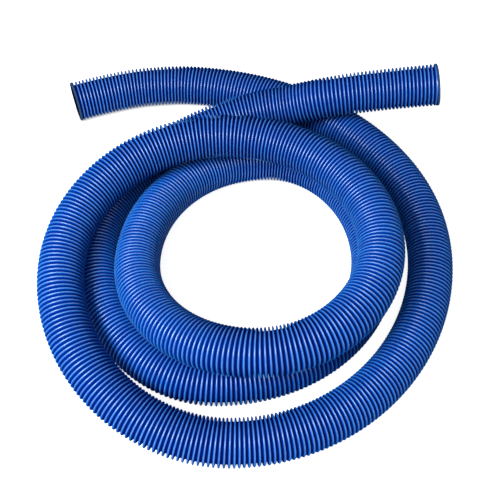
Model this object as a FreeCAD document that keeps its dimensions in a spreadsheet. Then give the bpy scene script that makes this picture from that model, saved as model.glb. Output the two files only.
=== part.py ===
import FreeCAD, Part
import math
import os

V = FreeCAD.Vector

# A bare corrugated suction hose, put away in three loose clockwise turns with both ends free.
# It lies on the floor, z = 0. X runs to the right, Y away and Z up, with the origin on the
# floor in the middle of the hose's outline.

# Driving sizes in millimetres: a cell's name, its value and what it is.
sizes = (
    ("bore_diameter", 38.0, "clear bore, the one and a half inch family"),
    ("liner_thickness", 0.8, "smooth inner ply"),
    ("web_thickness", 0.9, "ribbed wall in a valley"),
    ("rib_height", 3.5, "from the valley to the crest"),
    ("rib_pitch", 30.0, "from one modelled rib to the next"),
    ("crest_width", 13.0, "flat top of a rib"),
    ("valley_width", 9.0, "flat bottom between two ribs"),
    ("floor_flat_depth", 0.5, "how far the lowest crests are pressed flat on the floor"),
    ("least_gap", 0.4, "air that is kept between two strands of the hose"),
    ("floor_block_margin", 40.0, "how far the block that levels the underside runs past the hose"),
)

# How far each turn reaches from the middle of the coil, turn by turn, in millimetres.
# Every turn runs away, right, near, left, and the hose leaves at the fourth stop away.
sides = ("away", "right", "near", "left")
reach = {
    "away": (247.5, 98.5, 118.5, 175.5),
    "right": (206, 139.5, 141.5),
    "near": (249.5, 179, 181.5),
    "left": (198.5, 120, 170.5),
}
# Where along that side the turn is widest, so that the loose turns fan out.
drift = {
    "away": (-98, -28.5, 23.5, 52),
    "right": (-10, -53, -24),
    "near": (-17, 12, -31.5),
    "left": (-65, -46.5, -8.5),
}
# How far that stop is lifted off the floor by the strands below it.
lift = {
    "away": (0, 65, 0, 34),
    "right": (0, 68, 0),
    "near": (0, 59, 0),
    "left": (40, 26, 0),
}
headings = {"away": V(1, 0, 0), "right": V(0, -1, 0), "near": V(-1, 0, 0), "left": V(0, 1, 0)}
outward = {"away": V(0, 1, 0), "right": V(1, 0, 0), "near": V(0, -1, 0), "left": V(-1, 0, 0)}
quarterTurns = 12

# The two free ends, as steps from the coil's first and last stop: right, away and up.
leftTail = (V(-125, -30, 0), V(-66, -8, 0))
rightTail = (V(53, -2.5, 17), V(116, -0.5, 26), V(175.5, -0.5, 33.5))
# The share of the shorter run that a corner's arc takes up.
arcShare = 0.45

# The gap to itself is measured on points this share of the hose's radius apart,
# between points that are at least so many radii from each other along it.
gapStepShare = 1 / 6
gapNeighbours = 4


def makeSheet(doc):
    sheet = doc.addObject("Spreadsheet::Sheet", "sizes")
    for row, (name, value, meaning) in enumerate(sizes, start=1):
        sheet.set(f"A{row}", meaning)
        sheet.set(f"B{row}", str(value))
        sheet.setAlias(f"B{row}", name)
    doc.recompute()
    return sheet


def steadySlopes(levels):
    # The climb through each inner stop that never overshoots a level.
    steps = [after - before for before, after in zip(levels, levels[1:])]
    climbs = [0.0] * len(levels)
    for stop in range(1, len(steps)):
        before, after = steps[stop - 1], steps[stop]
        if before * after > 0:
            climbs[stop] = 2 * before * after / (before + after)
    return climbs


def coilStops(floorLevel, startWay, endWay):
    # Each quarter turn's stop and the way the hose runs through it.
    stops = []
    for quarter in range(quarterTurns + 1):
        side = sides[quarter % 4]
        turn = quarter // 4
        along = V(1, 0, 0) if side in ("away", "near") else V(0, 1, 0)
        stop = outward[side] * reach[side][turn] + along * drift[side][turn]
        stop.z = floorLevel + lift[side][turn]
        stops.append((stop, headings[side]))
    climbs = steadySlopes([stop.z for stop, heading in stops])
    ways = [startWay]
    for index in range(1, quarterTurns):
        stop, heading = stops[index]
        before = abs((stops[index - 1][0] - stop).dot(heading))
        after = abs((stops[index + 1][0] - stop).dot(heading))
        way = heading * ((before + after) * math.pi / 4) + V(0, 0, climbs[index])
        ways.append(way.normalize())
    ways.append(endWay)
    return [(stop, way) for (stop, heading), way in zip(stops, ways)]


def tangentArc(start, corner, end):
    # The arc that touches both legs of an evenly legged corner.
    middle = (start + end) / 2
    leg = (corner - start).Length
    half = (end - start).Length / 2
    rise = (corner - middle).Length
    radius = half * leg / rise
    sagitta = radius * (1 - half / leg)
    return Part.Arc(start, middle + (corner - middle) * (sagitta / rise), end).toShape()


def biarc(start, startWay, end, endWay):
    # Two arcs that leave one stop and reach the next along the hose's own way.
    step = end - start
    ways = startWay + endWay
    share = 2 * (1 - startWay.dot(endWay))
    leg = (math.sqrt(step.dot(ways) ** 2 + share * step.dot(step)) - step.dot(ways)) / share
    cornerA = start + startWay * leg
    cornerB = end - endWay * leg
    joint = (cornerA + cornerB) / 2
    return [tangentArc(start, cornerA, joint), tangentArc(joint, cornerB, end)]


def runsAndArcs(points, freeEnd, straightEnd):
    # Straight runs through the points, each corner rounded by a tangent arc that leaves
    # the free end straight for that length.
    edges = []
    here = points[0]
    for before, corner, after in zip(points, points[1:], points[2:]):
        leg = arcShare * min((corner - before).Length, (after - corner).Length)
        for neighbour in (before, after):
            if neighbour == freeEnd:
                leg = min(leg, (corner - neighbour).Length - straightEnd)
        arcStart = corner + (before - corner).normalize() * leg
        arcEnd = corner + (after - corner).normalize() * leg
        edges.append(Part.LineSegment(here, arcStart).toShape())
        edges.append(tangentArc(arcStart, corner, arcEnd))
        here = arcEnd
    edges.append(Part.LineSegment(here, points[-1]).toShape())
    return edges


class Route:
    # A chain of edges that is walked by its length.
    def __init__(self, edges):
        self.edges = edges
        self.length = sum(edge.Length for edge in edges)

    def at(self, distance):
        left = distance
        for edge in self.edges[:-1]:
            if left <= edge.Length:
                break
            left -= edge.Length
        else:
            edge = self.edges[-1]
        place = edge.getParameterByLength(min(left, edge.Length))
        return edge.valueAt(place), edge.tangentAt(place)


def ring(route, distance, radius):
    # A circle square to the hose, whose seam always faces up.
    point, way = route.at(distance)
    steady = V(0, 0, 1) - way * way.z
    steady.normalize()
    side = way.cross(steady)
    wire = Part.Wire([Part.makeCircle(radius)])
    wire.Placement = FreeCAD.Placement(point, FreeCAD.Rotation(steady, side, way, "ZXY"))
    return wire


def tubeSolid(route, outerRings, innerRings):
    # A closed wall between two ruled lofts, each given as distances and radii along the hose.
    skins = []
    for rings in (outerRings, innerRings):
        wires = [ring(route, distance, radius) for distance, radius in rings]
        skins.append(Part.makeLoft(wires, False, True))
    lids = []
    for end in (0, -1):
        outerRim = ring(route, *outerRings[end])
        innerRim = ring(route, *innerRings[end])
        lids.append(Part.makeFace([outerRim, innerRim], "Part::FaceMakerBullseye"))
    shell = Part.Shell(skins[0].Faces + skins[1].Faces + lids)
    shell.sewShape()
    solid = Part.Solid(shell)
    if solid.Volume < 0:
        solid.reverse()
    return solid


def ribCount(route, pitch):
    return max(1, round(route.length / pitch))


def ribRings(route, hose):
    # Four rings to a rib: out of the valley, onto the crest, off the crest, into the valley.
    count = ribCount(route, hose.RibPitch.Value)
    pitch = route.length / count
    valley = hose.WallRadius.Value + hose.WebThickness.Value
    crest = valley + hose.RibHeight.Value
    halfValley = hose.ValleyWidth.Value / 2
    flank = (pitch - hose.CrestWidth.Value - 2 * halfValley) / 2
    rings = [(0.0, valley)]
    for rib in range(count):
        start = rib * pitch
        rings.append((start + halfValley, valley))
        rings.append((start + halfValley + flank, crest))
        rings.append((start + pitch - halfValley - flank, crest))
        rings.append((start + pitch - halfValley, valley))
    rings.append((route.length, valley))
    return rings


def plainRings(route, pitch, radius):
    # One ring to a valley, so that a smooth skin stays parallel to the ribbed one.
    count = ribCount(route, pitch)
    return [(route.length * rib / count, radius) for rib in range(count + 1)]


def bindSizes(feature, bindings):
    for name, expression in bindings.items():
        feature.addProperty("App::PropertyLength", name, "Hose", "from the sheet of sizes")
        feature.setExpression(name, expression)


def addWall(doc, label, route):
    wall = doc.addObject("Part::Feature", label)
    wall.Label = label
    bindSizes(wall, {
        "WallRadius": "sizes.bore_diameter / 2 + sizes.liner_thickness",
        "WebThickness": "sizes.web_thickness",
        "RibHeight": "sizes.rib_height",
        "RibPitch": "sizes.rib_pitch",
        "CrestWidth": "sizes.crest_width",
        "ValleyWidth": "sizes.valley_width",
    })
    doc.recompute()
    inner = plainRings(route, wall.RibPitch.Value, wall.WallRadius.Value)
    wall.Shape = tubeSolid(route, ribRings(route, wall), inner)
    return wall


def addLiner(doc, label, route):
    liner = doc.addObject("Part::Feature", label)
    liner.Label = label
    bindSizes(liner, {
        "BoreRadius": "sizes.bore_diameter / 2",
        "LinerThickness": "sizes.liner_thickness",
        "RibPitch": "sizes.rib_pitch",
    })
    doc.recompute()
    bore = liner.BoreRadius.Value
    outer = plainRings(route, liner.RibPitch.Value, bore + liner.LinerThickness.Value)
    inner = plainRings(route, liner.RibPitch.Value, bore)
    liner.Shape = tubeSolid(route, outer, inner)
    return liner


def levelUnderside(doc, wall, label, block):
    # The lowest crests are flat where the hose's own weight presses them on the floor.
    levelled = doc.addObject("Part::Cut", label)
    levelled.Label = label
    levelled.Base = wall
    levelled.Tool = block
    return levelled


def floorBlock(doc):
    block = doc.addObject("Part::Box", "floor_block")
    widest = max(reach["right"]) + max(reach["left"]) + abs(leftTail[0].x)
    deepest = max(reach["away"]) + max(reach["near"])
    block.setExpression("Length", f"{widest} + 2 * sizes.floor_block_margin")
    block.setExpression("Width", f"{deepest} + 2 * sizes.floor_block_margin")
    block.setExpression("Height", "sizes.floor_block_margin")
    block.setExpression("Placement.Base.x", "-Length / 2")
    block.setExpression("Placement.Base.y", "-Width / 2")
    block.setExpression("Placement.Base.z", "-Height")
    return block


def leastStrandGap(route, outerRadius):
    # The nearest two points of the hose's middle line that aren't neighbours along it.
    step = outerRadius * gapStepShare
    count = int(route.length / step)
    points = [route.at(index * route.length / count)[0] for index in range(count + 1)]
    skip = int(gapNeighbours / gapStepShare)
    least = None
    for index, point in enumerate(points):
        for other in range(index + skip, len(points)):
            gap = (points[other] - point).Length
            if least is None or gap < least[0]:
                least = (gap, point, points[other])
    return least[0] - 2 * outerRadius, least[1], least[2]


def ribbedVolume(rings):
    # Section times length, band by band.
    volume = 0.0
    for (startAt, startRadius), (endAt, endRadius) in zip(rings, rings[1:]):
        square = startRadius ** 2 + startRadius * endRadius + endRadius ** 2
        volume += math.pi * (endAt - startAt) * square / 3
    return volume


doc = FreeCAD.newDocument("vacuum_hose")
sheet = makeSheet(doc)
wallRadius = sheet.bore_diameter / 2 + sheet.liner_thickness
outerRadius = wallRadius + sheet.web_thickness + sheet.rib_height
floorLevel = outerRadius - sheet.floor_flat_depth

startWay = (leftTail[-1] * -1).normalize()
endWay = V(rightTail[0]).normalize()
stops = coilStops(floorLevel, startWay, endWay)
coilEdges = []
for (start, startWay), (end, endWay) in zip(stops, stops[1:]):
    coilEdges += biarc(start, startWay, end, endWay)
firstStop = stops[0][0]
lastStop = stops[-1][0]
leftPoints = [firstStop + step for step in leftTail] + [firstStop]
rightPoints = [lastStop] + [lastStop + step for step in rightTail]
leftEdges = runsAndArcs(leftPoints, leftPoints[0], 2 * outerRadius)
rightEdges = runsAndArcs(rightPoints, rightPoints[-1], 2 * outerRadius)
routes = {
    "left_tail": Route(leftEdges),
    "coil": Route(coilEdges),
    "right_tail": Route(rightEdges),
}

for name, route in routes.items():
    radii = [edge.Curve.Radius for edge in route.edges if isinstance(edge.Curve, Part.Circle)]
    diameters = ", ".join(f"{radius / (2 * outerRadius):.2f}" for radius in radii)
    print(f"{name}: length {route.length:.1f} mm, arc radii in hose diameters {diameters}")

whole = Route(leftEdges + coilEdges + rightEdges)
gap, gapStart, gapEnd = leastStrandGap(whole, outerRadius)
print(f"whole hose: length {whole.length:.1f} mm, least gap to itself {gap:.2f} mm")
if gap < sheet.least_gap:
    raise SystemExit(f"two strands touch between {gapStart} and {gapEnd}")

block = floorBlock(doc)
nodes = []
for name, route in routes.items():
    onFloor = min(edge.BoundBox.ZMin for edge in route.edges) < outerRadius
    ribbed = addWall(doc, f"{name}_ribbed" if onFloor else f"{name}_wall", route)
    volume = ribbedVolume(ribRings(route, ribbed)) - math.pi * wallRadius ** 2 * route.length
    print(f"{name}: {ribCount(route, sheet.rib_pitch)} ribs, wall volume "
          f"{ribbed.Shape.Volume:.0f}, section times length {volume:.0f} cubic mm")
    if onFloor:
        nodes.append(levelUnderside(doc, ribbed, f"{name}_wall", block))
    else:
        nodes.append(ribbed)
    nodes.append(addLiner(doc, f"{name}_liner", route))

doc.recompute()
for item in doc.Objects:
    if "Invalid" in item.State or "Error" in item.State:
        raise SystemExit(f"{item.Label} failed: {item.State}")
for node in nodes:
    shape = node.Shape
    if shape.isNull() or not shape.isValid() or len(shape.Solids) != 1:
        raise SystemExit(f"{node.Label} is not one valid solid")

os.makedirs("parts", exist_ok=True)
for node in nodes:
    node.Shape.exportStep(f"parts/{node.Label}.step")
    box = node.Shape.BoundBox
    print(f"{node.Label}: volume {node.Shape.Volume:.0f}, faces {len(node.Shape.Faces)}, "
          f"x {box.XMin:.1f} to {box.XMax:.1f}, y {box.YMin:.1f} to {box.YMax:.1f}, "
          f"z {box.ZMin:.2f} to {box.ZMax:.1f}")
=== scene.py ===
import bpy
import math
import numpy as np
from mathutils import Matrix, Vector


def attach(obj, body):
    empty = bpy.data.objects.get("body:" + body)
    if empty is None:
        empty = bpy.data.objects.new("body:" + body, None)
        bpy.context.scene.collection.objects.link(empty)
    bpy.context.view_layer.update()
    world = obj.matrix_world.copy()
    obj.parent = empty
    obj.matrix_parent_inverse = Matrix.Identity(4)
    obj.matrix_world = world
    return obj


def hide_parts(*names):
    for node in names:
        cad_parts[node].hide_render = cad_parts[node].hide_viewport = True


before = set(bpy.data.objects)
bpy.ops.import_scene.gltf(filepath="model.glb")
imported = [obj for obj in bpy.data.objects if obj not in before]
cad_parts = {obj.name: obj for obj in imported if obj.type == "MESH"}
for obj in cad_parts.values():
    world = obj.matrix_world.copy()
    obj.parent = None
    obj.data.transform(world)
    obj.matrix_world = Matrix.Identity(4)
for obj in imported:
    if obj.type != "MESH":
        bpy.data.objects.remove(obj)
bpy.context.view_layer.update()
print("frame loaded", sorted(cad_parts))

# Everything is in metres: X to the right, Y away, Z up, and the floor at z = 0.

camera = {
    "sensor": 36,  # millimetres, as is the lens
    "lens": 62.91,
    "elevation": 55.12,  # degrees, as is the roll
    "roll": -0.19,
    "distance": 1.0191,
    "aim": (0.0025, 0.0005, 0),
}


def addObject(name, data):
    made = bpy.data.objects.new(name, data)
    bpy.context.scene.collection.objects.link(made)
    return made


def addCamera():
    tilt = math.radians(camera["elevation"])
    roll = math.radians(camera["roll"])
    ahead = Vector((0, math.cos(tilt), -math.sin(tilt)))
    level, up = Vector((1, 0, 0)), Vector((0, math.sin(tilt), math.cos(tilt)))
    right = level * math.cos(roll) + up * math.sin(roll)
    above = up * math.cos(roll) - level * math.sin(roll)
    data = bpy.data.cameras.new("camera")
    data.sensor_width = camera["sensor"]
    data.lens = camera["lens"]
    holder = addObject("camera", data)
    place = Vector(camera["aim"]) - ahead * camera["distance"]
    turned = Matrix((right, above, -ahead)).transposed().to_4x4()
    holder.matrix_world = Matrix.Translation(place) @ turned
    bpy.context.scene.camera = holder


# The hose's way: how far each turn reaches on each side, where along that side, and its lift.
route = {
    "sides": ("away", "right", "near", "left"),
    "reach": {
        "away": (0.2475, 0.0985, 0.1185, 0.1738),
        "right": (0.206, 0.1395, 0.1415),
        "near": (0.2475, 0.179, 0.1815),
        "left": (0.1985, 0.12, 0.1705),
    },
    "drift": {
        "away": (-0.098, -0.0285, 0.0235, 0.052),
        "right": (-0.01, -0.053, -0.024),
        "near": (-0.017, 0.012, -0.0315),
        "left": (-0.065, -0.0465, -0.0085),
    },
    "lift": {
        "away": (0, 0.065, 0, 0.0373),
        "right": (0, 0.068, 0),
        "near": (0, 0.059, 0),
        "left": (0.04, 0.0265, 0),
    },
    "outward": {"away": (0, 1), "right": (1, 0), "near": (0, -1), "left": (-1, 0)},
    "heading": {"away": (1, 0), "right": (0, -1), "near": (-1, 0), "left": (0, 1)},
    "floorLevel": 0.0237,
    "quarterTurns": 12,
    "pointsPerQuarter": 12,
    "lastClimb": 1.886,  # how steeply the right tail is entered, in the last quarter's rise
    # the free ends, as steps from the coil's first and last stop
    "leftTail": ((-0.1232, -0.0303, 0), (-0.066, -0.008, 0)),
    "rightTail": ((0.053, -0.001, 0.0166), (0.116, 0.0027, 0.0238), (0.1755, 0.0027, 0.0311)),
    "splineSteps": 12,  # between two points
}


def coilStops():
    stops = []
    for quarter in range(route["quarterTurns"] + 1):
        side, turn = route["sides"][quarter % 4], quarter // 4
        outward, along = np.array(route["outward"][side]), np.abs(route["heading"][side])
        flat = outward * route["reach"][side][turn] + along * route["drift"][side][turn]
        stops.append((*flat, route["floorLevel"] + route["lift"][side][turn]))
    return np.array(stops, float)


def coilPoints(stops):
    # Quarter turns between the stops, climbing without passing any stop's level.
    rises = np.diff(stops[:, 2])
    climbs = [0.0]
    for before, after in zip(rises, rises[1:]):
        steady = before * after > 0
        climbs.append(2 * before * after / (before + after) if steady else 0.0)
    climbs.append(route["lastClimb"] * rises[-1])
    points = []
    for quarter in range(route["quarterTurns"]):
        start, end = stops[quarter], stops[quarter + 1]
        leave = np.array(route["heading"][route["sides"][quarter % 4]])
        arrive = np.array(route["heading"][route["sides"][(quarter + 1) % 4]])
        step = (end - start)[:2]
        for count in range(route["pointsPerQuarter"]):
            share = count / route["pointsPerQuarter"]
            angle = share * math.pi / 2
            flat = start[:2] + leave * (step @ leave) * math.sin(angle)
            flat = flat + arrive * (step @ arrive) * (1 - math.cos(angle))
            rest = 1 - share
            level = start[2] * (1 + 2 * share) * rest ** 2
            level += end[2] * (3 - 2 * share) * share ** 2
            level += climbs[quarter] * share * rest ** 2
            level -= climbs[quarter + 1] * rest * share ** 2
            points.append((*flat, level))
    return points + [tuple(stops[-1])]


def splinePoints():
    # A smooth line through the left tail, the coil and the right tail.
    stops = coilStops()
    leftTail = [stops[0] + np.array(step) for step in route["leftTail"]]
    rightTail = [stops[-1] + np.array(step) for step in route["rightTail"]]
    points = [*leftTail, *coilPoints(stops), *rightTail]
    data = bpy.data.curves.new("hoseLine", "CURVE")
    data.dimensions = "3D"
    spline = data.splines.new("NURBS")
    spline.points.add(len(points) - 1)
    for entry, point in zip(spline.points, points):
        entry.co = (*point, 1)
    spline.order_u = 3
    spline.use_endpoint_u = True
    spline.resolution_u = route["splineSteps"]
    holder = addObject("hoseLine", data)
    graph = bpy.context.evaluated_depsgraph_get()
    mesh = bpy.data.meshes.new_from_object(holder.evaluated_get(graph))
    line = np.array([vertex.co for vertex in mesh.vertices])
    bpy.data.objects.remove(holder)
    bpy.data.curves.remove(data)
    bpy.data.meshes.remove(mesh)
    if np.linalg.norm(line[0] - points[0]) > np.linalg.norm(line[-1] - points[0]):
        line = line[::-1]
    return line


class MiddleLine:  # the hose's line, walked by its length
    def __init__(self, points):
        steps = np.linalg.norm(np.diff(points, axis=0), axis=1)
        keep = np.append(True, steps > 1e-7)  # without points that lie on each other
        self.points = points[keep]
        steps = np.linalg.norm(np.diff(self.points, axis=0), axis=1)
        self.marks = np.append(0, np.cumsum(steps))
        self.length = self.marks[-1]
        ways = np.gradient(self.points, self.marks, axis=0)
        self.ways = ways / np.linalg.norm(ways, axis=1)[:, None]

    def surface(self, distance, angle, radius):
        # The point at that distance along the hose, angle round it and radius from its line.
        spot = np.stack([np.interp(distance, self.marks, c) for c in self.points.T], -1)
        way = np.stack([np.interp(distance, self.marks, c) for c in self.ways.T], -1)
        way /= np.linalg.norm(way, axis=-1)[..., None]
        up = np.array((0, 0, 1)) - way * way[..., 2:]
        up /= np.linalg.norm(up, axis=-1)[..., None]
        side = np.cross(way, up)
        place = up * np.cos(angle)[..., None] + side * np.sin(angle)[..., None]
        place = spot + place * radius[..., None]
        place[..., 2] = np.maximum(place[..., 2], 0)  # pressed flat where it lies on the floor
        return place


def quads(grid):
    # The corners of the faces between neighbouring rows and columns.
    return np.stack([grid[:-1, :-1], grid[:-1, 1:], grid[1:, 1:], grid[1:, :-1]], 2)


def bands(rings):
    # The faces between one ring of points and the next, each ring closed.
    return quads(np.hstack([rings, rings[:, :1]])).reshape(-1, 4)


hose = {
    "boreRadius": 0.019,
    "plyRadius": 0.0198,
    "webRadius": 0.0207,
    "crestRadius": 0.0249,
    "ribPitch": 0.0045,
    # one pitch of the rib, as shares of the pitch and of the rib's height
    "ribProfile": ((0.19, 0.0), (0.29, 0.8), (0.5, 1.0), (0.71, 0.8), (0.81, 0.0)),
    "columns": 23,
    "innerRings": 150,
    "collar": 0.0025,  # the plain rim at each cut end
    "collarEdge": 0.0004,
    "spareTurns": 3,  # by which the strip is longer than the hose
    # the unrolled map: the turns in a row, and where each part lies across it
    "turnsPerRow": 34,
    "mapStrip": (0.002, 0.998),
    "mapNearEnd": (0.01, 0.24),
    "mapFarEnd": (0.26, 0.49),
    "mapInside": (0.51, 0.99),
    "mapHeight": (0.03, 0.97),  # of its row
}


def mapRows(length):
    turns = length / hose["ribPitch"] + hose["spareTurns"]
    return math.ceil(turns / hose["turnsPerRow"])


def unrolled(rings, across, row, rows):
    # The faces between some rings laid out flat, in one row of the map.
    up = (row + np.linspace(*hose["mapHeight"], hose["columns"] + 1)) / rows
    grid = np.meshgrid(np.linspace(*across, rings), up, indexing="ij")
    return quads(np.stack(grid, -1)).reshape(-1, 4, 2)


def stripFaces(numbers, samples, rows):
    # The faces of the wound strip and their places in the map, from each point's number.
    # After the last column comes column 0 of the turn before.
    strip = quads(np.hstack([numbers[samples:], numbers[:-samples, :1]])).reshape(-1, 4)
    perRow = hose["turnsPerRow"] * samples
    flat = np.concatenate([unrolled(perRow + 1, hose["mapStrip"], row, rows)
                           for row in range(rows - 1)])
    # on a collar's rim the corners fall together, so that a triangle or nothing is left
    ordered = np.sort(strip, 1)
    merged = (ordered[:, 1:] == ordered[:, :-1]).any(1)
    faces, spots = strip[~merged].tolist(), [flat[~merged].reshape(-1, 2)]
    for corners, places in zip(strip[merged].tolist(), flat[merged]):
        keep = [corners.index(corner) for corner in dict.fromkeys(corners)]
        if len(keep) > 2:
            faces.append([corners[index] for index in keep])
            spots.append(places[keep])
    return faces, spots


def makeWall(line):
    # One rib strip wound as a helix, cut square at both ends and closed over the ply.
    columns, shape = hose["columns"], np.array(hose["ribProfile"])
    samples, rows = len(shape), mapRows(line.length) + 1
    row = np.arange(((rows - 1) * hose["turnsPerRow"] + 1) * samples + 1)
    turn = row // samples - 1.0
    column = np.arange(columns)
    along = (turn + shape[row % samples, 0])[:, None] - column / columns
    distance = along * hose["ribPitch"]

    edge, crest, farEnd = hose["collarEdge"], hose["crestRadius"], line.length
    nearCollar, farCollar = hose["collar"], farEnd - hose["collar"]
    nearRims = ((nearCollar, crest), (edge, crest), (0, crest - edge))
    farRims = ((farCollar, crest), (farEnd - edge, crest), (farEnd, crest - edge))
    rims = nearRims + farRims
    inside = (distance > nearCollar) & (distance < farCollar)
    # the rims' points come first, then the strip's, which ends on the first rim of each end
    numbers = np.cumsum(inside).reshape(inside.shape) - 1 + len(rims) * columns
    numbers = np.where(distance <= nearCollar, column, numbers)
    numbers = np.where(distance >= farCollar, len(nearRims) * columns + column, numbers)

    angle = 2 * math.pi * column / columns
    rises, turns, angles = (
        np.broadcast_to(values, distance.shape)[inside]
        for values in (shape[row % samples, 1][:, None], turn[:, None], angle))
    radii = hose["webRadius"] + (crest - hose["webRadius"]) * rises
    rimAt, rimRadii = np.repeat(np.array(rims).T, columns, axis=1)
    innerRings = hose["innerRings"]
    innerAt = np.repeat(np.linspace(0, farEnd, innerRings), columns)
    points = np.concatenate([
        line.surface(rimAt, np.tile(angle, len(rims)), rimRadii),
        line.surface(distance[inside], angles, radii),
        line.surface(innerAt, np.tile(angle, innerRings), np.full(len(innerAt), hose["plyRadius"])),
    ])

    faces, spots = stripFaces(numbers, samples, rows)
    firstEndFace = len(faces)
    nearRim, farRim = np.arange(len(rimAt)).reshape(2, -1, columns)
    inner = np.arange(len(points) - len(innerAt), len(points)).reshape(-1, columns)
    closings = (
        (np.vstack([inner[:1], nearRim[::-1]]), "mapNearEnd"),
        (np.vstack([farRim, inner[-1:]]), "mapFarEnd"),
        (inner[::-1], "mapInside"),
    )
    for rings, across in closings:
        faces += bands(rings).tolist()
        spots.append(unrolled(len(rings), hose[across], rows - 1, rows).reshape(-1, 2))

    mesh = bpy.data.meshes.new("ribbedWall")
    mesh.from_pydata(points.tolist(), [], faces)
    mesh.uv_layers.new(name="OFBake").uv.foreach_set("vector", np.concatenate(spots).ravel())
    mesh.shade_smooth()
    for band in range(len(rims)):
        # the first and the last band at the ends are flat cut faces, painted dark as shade, the
        # others collars
        start = firstEndFace + band * columns
        for polygon in mesh.polygons[start:start + columns]:
            polygon.material_index = 2 if band in (0, len(rims) - 1) else 1
    for name, values in (("ribRise", rises), ("ribTurn", turns)):
        mesh.attributes.new(name, "FLOAT", "POINT").data.foreach_set("value", np.concatenate(
            [np.zeros(len(rimAt)), values, np.zeros(len(innerAt))]))
    mesh.validate()
    return addObject("ribbedWall", mesh)


ply = {"columns": 40, "rings": 420, "lip": 0.0003}


def makePly(line):
    # The smooth tube inside, with a small lip at each cut end.
    columns, lip = ply["columns"], ply["lip"]
    along = np.linspace(0, line.length, ply["rings"])
    bore, skin = hose["boreRadius"], hose["plyRadius"]
    rings = [(distance, skin) for distance in along]
    rings += [(line.length, bore + lip), (line.length - lip, bore)]
    rings += [(distance, bore) for distance in along[-2:0:-1]]
    rings += [(lip, bore), (0, bore + lip)]
    distance, radius = np.repeat(np.array(rings).T, columns, axis=1)
    angle = 2 * math.pi * np.arange(columns) / columns
    points = line.surface(distance, np.tile(angle, len(rings)), radius)
    grid = np.arange(len(points)).reshape(-1, columns)
    mesh = bpy.data.meshes.new("innerPly")
    mesh.from_pydata(points.tolist(), [], bands(np.vstack([grid, grid[:1]])).tolist())
    mesh.shade_smooth()
    for band in (ply["rings"] - 1, len(rings) - 1):  # the flat cut faces
        for polygon in mesh.polygons[band * columns:(band + 1) * columns]:
            polygon.use_smooth = False
            polygon.material_index = 1
    mesh.validate()
    return addObject("innerPly", mesh)


class Wire:  # an output socket, so that a sum on it adds its Math node
    def __init__(self, finish, socket):
        self.finish, self.socket = finish, socket

    def __add__(self, other):
        return self.finish.sum("ADD", self, other)

    def __radd__(self, other):
        return self.finish.sum("ADD", other, self)

    def __sub__(self, other):
        return self.finish.sum("SUBTRACT", self, other)

    def __rsub__(self, other):
        return self.finish.sum("SUBTRACT", other, self)

    def __mul__(self, other):
        return self.finish.sum("MULTIPLY", self, other)

    def __rmul__(self, other):
        return self.finish.sum("MULTIPLY", other, self)


class Finish:  # a material or a world that is written as one expression after another
    def __init__(self, owner):
        self.owner = owner
        owner.use_nodes = True
        self.tree = owner.node_tree
        self.tree.nodes.clear()

    def node(self, kind, settings={}, sockets={}, out=0):
        made = self.tree.nodes.new(kind)
        for name, value in settings.items():
            setattr(made, name, value)
        for name, value in sockets.items():
            if isinstance(value, Wire):
                self.tree.links.new(value.socket, made.inputs[name])
            else:
                made.inputs[name].default_value = value
        return Wire(self, made.outputs[out]) if made.outputs else self.owner

    def sum(self, operation, *values):
        return self.node("ShaderNodeMath", {"operation": operation}, dict(enumerate(values)))

    def place(self):
        return self.node("ShaderNodeTexCoord", out="Object")

    def attribute(self, name):
        return self.node("ShaderNodeAttribute", {"attribute_name": name}, out="Fac")

    def noise(self, where, scale, detail):
        return self.node("ShaderNodeTexNoise", {}, {
            "Scale": scale, "Detail": detail, "Vector": where})

    def noiseAlong(self, where, scale, detail):
        return self.node("ShaderNodeTexNoise", {"noise_dimensions": "1D"}, {
            "Scale": scale, "Detail": detail, "W": where})

    def ramp(self, value, low, high, bottom=0.0, top=1.0):
        return self.node("ShaderNodeMapRange", {"clamp": True}, {
            "Value": value, "From Min": low, "From Max": high, "To Min": bottom, "To Max": top})

    def blend(self, share, first, second):
        # inputs 6 and 7 and output 2 are the colours of a Mix node
        return self.node("ShaderNodeMix", {"data_type": "RGBA"}, {0: share, 6: first, 7: second}, 2)

    def bump(self, height, strength):
        return self.node("ShaderNodeBump", {}, {
            "Strength": strength, "Distance": 0.0002, "Height": height})

    def plastic(self, sockets):
        # What shines is added as a coat, so the base has no reflection of its own.
        shader = self.node("ShaderNodeBsdfPrincipled", {}, {"Specular IOR Level": 0.0, **sockets})
        return self.surface(shader)

    def surface(self, shader):
        return self.node("ShaderNodeOutputMaterial", {}, {"Surface": shader})


def colour(red, green, blue):
    # A colour as it is seen on a screen, 0 to 255, in the renderer's linear values.
    return (*[((c / 255 + 0.055) / 1.055) ** 2.4 if c > 10 else c / 255 / 12.92
              for c in (red, green, blue)], 1)


wallFinish = {
    "crest": colour(10, 113, 205),
    # the grooves' painted shade, also the darker tone that some ribs and patches take at random
    "valley": colour(1, 40, 134),
    # paler crests: partly wear, partly a painted highlight
    "wearAndHighlight": colour(132, 160, 212),
    # each noise's scale and detail
    "cloudNoise": (16.0, 3.0),
    "scuffNoise": (170.0, 4.0),
    "batchNoise": (0.43, 2.0),
    "grainNoise": (700.0, 2.0),
    # the rib's rise where each starts and where it is full
    "grooveShadeRise": (0.5, 1.0),
    "wearAndHighlightRise": (0.82, 1.0),
    "glossRise": (0.8, 0.93),
    # two values of the noise, and the share of the colour at each
    "batchShare": (0.35, 0.65, 0.0, 0.3),
    "cloudShare": (0.3, 0.7, 0.0, 0.15),
    "wearAndHighlightShare": (0.35, 0.7, 0.08, 0.36),
    "glossTurned": (0.2, 0.6, 1.0, 0.0),  # the gloss fades where the crests turn away
    "glossIndex": 1.8,
    "glossRoughness": 0.35,
    "roughness": 0.3,
    "roughnessSpread": 0.16,
    "grainHeight": 0.1,
}


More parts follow.
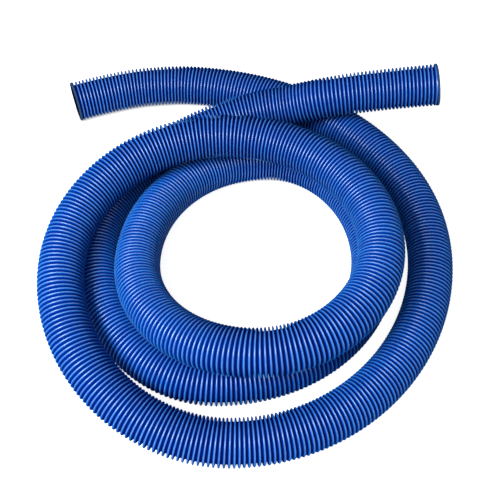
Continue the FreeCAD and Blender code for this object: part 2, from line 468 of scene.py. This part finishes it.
def ribbedBlue():
    # Glossy on the crests, which are painted paler, partly as wear and partly as highlight, and
    # dull in the grooves between them, which are painted dark as shade.
    look = wallFinish
    finish = Finish(bpy.data.materials.new("ribbedBlue"))
    place, rise = finish.place(), finish.attribute("ribRise")
    cloud = finish.noise(place, *look["cloudNoise"])
    scuffs = finish.noise(place, *look["scuffNoise"])
    batch = finish.noiseAlong(finish.attribute("ribTurn"), *look["batchNoise"])
    # painted shade: the grooves darker than the crests, blended by the rib's rise
    tone = finish.blend(finish.ramp(rise, *look["grooveShadeRise"]), look["valley"], look["crest"])
    tone = finish.blend(finish.ramp(batch, *look["batchShare"]), tone, look["valley"])
    tone = finish.blend(finish.ramp(cloud, *look["cloudShare"]), tone, look["valley"])
    # painted highlight, partly wear: every crest a little paler, more where the scuff noise is high
    wearAndHighlight = finish.ramp(scuffs, *look["wearAndHighlightShare"]) * finish.ramp(rise, *look["wearAndHighlightRise"])
    turned = finish.node("ShaderNodeLayerWeight", {}, {"Blend": 0.5}, out="Facing")
    gloss = finish.ramp(rise, *look["glossRise"]) * finish.ramp(turned, *look["glossTurned"])
    return finish.plastic({
        "Base Color": finish.blend(wearAndHighlight, tone, look["wearAndHighlight"]),
        "Roughness": look["roughness"] + (scuffs - 0.5) * look["roughnessSpread"],
        "Coat Weight": gloss,
        "Coat IOR": look["glossIndex"],
        "Coat Roughness": look["glossRoughness"],
        "Normal": finish.bump(finish.noise(place, *look["grainNoise"]), look["grainHeight"]),
    })


cutFinish = {
    "collarBlue": (colour(32, 58, 100), colour(56, 88, 132)),
    # the flat cut faces at the ends, painted dark as shade
    "shadedCutEnd": (colour(12, 20, 38), colour(26, 38, 62)),
    "cutGrey": (colour(66, 84, 118), colour(110, 126, 156)),
    "lineNoise": (1400.0, 3.0),
    "lineShare": (0.35, 0.65),
    "lineHeight": 0.2,
    "roughness": 0.6,
    "roughnessSpread": 0.2,
}


def cutFace(name):
    # Where the hose was cut across: duller, with the blade's fine lines.
    finish = Finish(bpy.data.materials.new(name))
    lines = finish.noise(finish.place(), *cutFinish["lineNoise"])
    return finish.plastic({
        "Base Color": finish.blend(
            finish.ramp(lines, *cutFinish["lineShare"]), *cutFinish[name]),
        "Roughness": cutFinish["roughness"] + (lines - 0.5) * cutFinish["roughnessSpread"],
        "Normal": finish.bump(lines, cutFinish["lineHeight"]),
    })


boreFinish = {
    # the bore's inside, painted near-black as shade; the ply's cut faces keep their grey-blue
    "tones": (colour(4, 7, 16), colour(10, 17, 36)),
    "cloudNoise": (40.0, 3.0),
    "roughness": 0.5,
    "roughnessSpread": 0.15,
}


def paintedBoreShade():
    finish = Finish(bpy.data.materials.new("paintedBoreShade"))
    cloud = finish.noise(finish.place(), *boreFinish["cloudNoise"])
    return finish.plastic({
        "Base Color": finish.blend(cloud, *boreFinish["tones"]),
        "Roughness": boreFinish["roughness"] + cloud * boreFinish["roughnessSpread"],
    })


studio = {
    "world": 0.14,
    "floorSize": 6.0,
    "floorColour": 0.7,
    "floorGlow": 0.88,  # what the camera adds on the floor, whose shadows stay
    "contactShadow": 0.005,
    "lamps": (
        # name, place, size, power
        ("wideLeft", (-1.15, -0.95, 1.6), 1.0, 60.0),
        ("softNear", (-0.2, -1.1, 1.6), 1.2, 12.0),
    ),
}


def addWorld():
    # White where it is seen or mirrored, and dim as a light.
    world = Finish(bpy.data.worlds.new("studio"))
    bpy.context.scene.world = world.owner
    seen = [world.node("ShaderNodeLightPath", out=f"Is {ray} Ray")
            for ray in ("Camera", "Glossy", "Transmission")]
    back = world.node("ShaderNodeBackground", {}, {
        "Color": (1, 1, 1, 1),
        "Strength": world.ramp(seen[0] + seen[1] + seen[2], 0.0, 1.0, studio["world"], 1.0)})
    world.node("ShaderNodeOutputWorld", {}, {"Surface": back})


def addLamps():
    for name, place, size, power in studio["lamps"]:
        data = bpy.data.lights.new(name, "AREA")
        data.shape = "DISK"
        data.size = size
        data.energy = power
        lamp = addObject(name, data)
        lamp.location = place
        lamp.rotation_euler = (-Vector(place)).to_track_quat("-Z", "Y").to_euler()


def addFloor():
    half = studio["floorSize"] / 2
    corners = [(-half, -half, 0), (half, -half, 0), (half, half, 0), (-half, half, 0)]
    mesh = bpy.data.meshes.new("floor")
    mesh.from_pydata(corners, [], [(0, 1, 2, 3)])
    finish = Finish(bpy.data.materials.new("paleFloor"))
    path = finish.node("ShaderNodeLightPath", out="Is Camera Ray")
    # painted contact shade: the floor's colour and the camera's glow darkened near the hose by
    # ambient occlusion
    contactShade = finish.node("ShaderNodeAmbientOcclusion", {"samples": 8}, {
        "Distance": studio["contactShadow"]}, "AO")
    plain = finish.node("ShaderNodeBsdfDiffuse", {}, {"Color": contactShade * studio["floorColour"]})
    glow = finish.node("ShaderNodeEmission", {}, {"Strength": path * contactShade * studio["floorGlow"]})
    mesh.materials.append(finish.surface(
        finish.node("ShaderNodeAddShader", {}, {0: plain, 1: glow})))
    addObject("floor", mesh)


addCamera()
line = MiddleLine(splinePoints())
print("hose line", round(line.length, 4), "m")

wall = makeWall(line)
tube = makePly(line)
print("hose made", len(wall.data.polygons), len(tube.data.polygons))

for finish in (ribbedBlue(), cutFace("collarBlue"), cutFace("shadedCutEnd")):
    wall.data.materials.append(finish)
for finish in (paintedBoreShade(), cutFace("cutGrey")):
    tube.data.materials.append(finish)
print("finishes made", len(wall.data.materials), len(tube.data.materials))

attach(wall, "root")
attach(tube, "root")
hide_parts("left_tail_wall", "coil_wall", "right_tail_wall")
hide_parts("left_tail_liner", "coil_liner", "right_tail_liner")

addWorld()
addLamps()
addFloor()
bpy.context.scene.view_settings.view_transform = "Standard"
print("studio set", [name for name, *rest in studio["lamps"]])
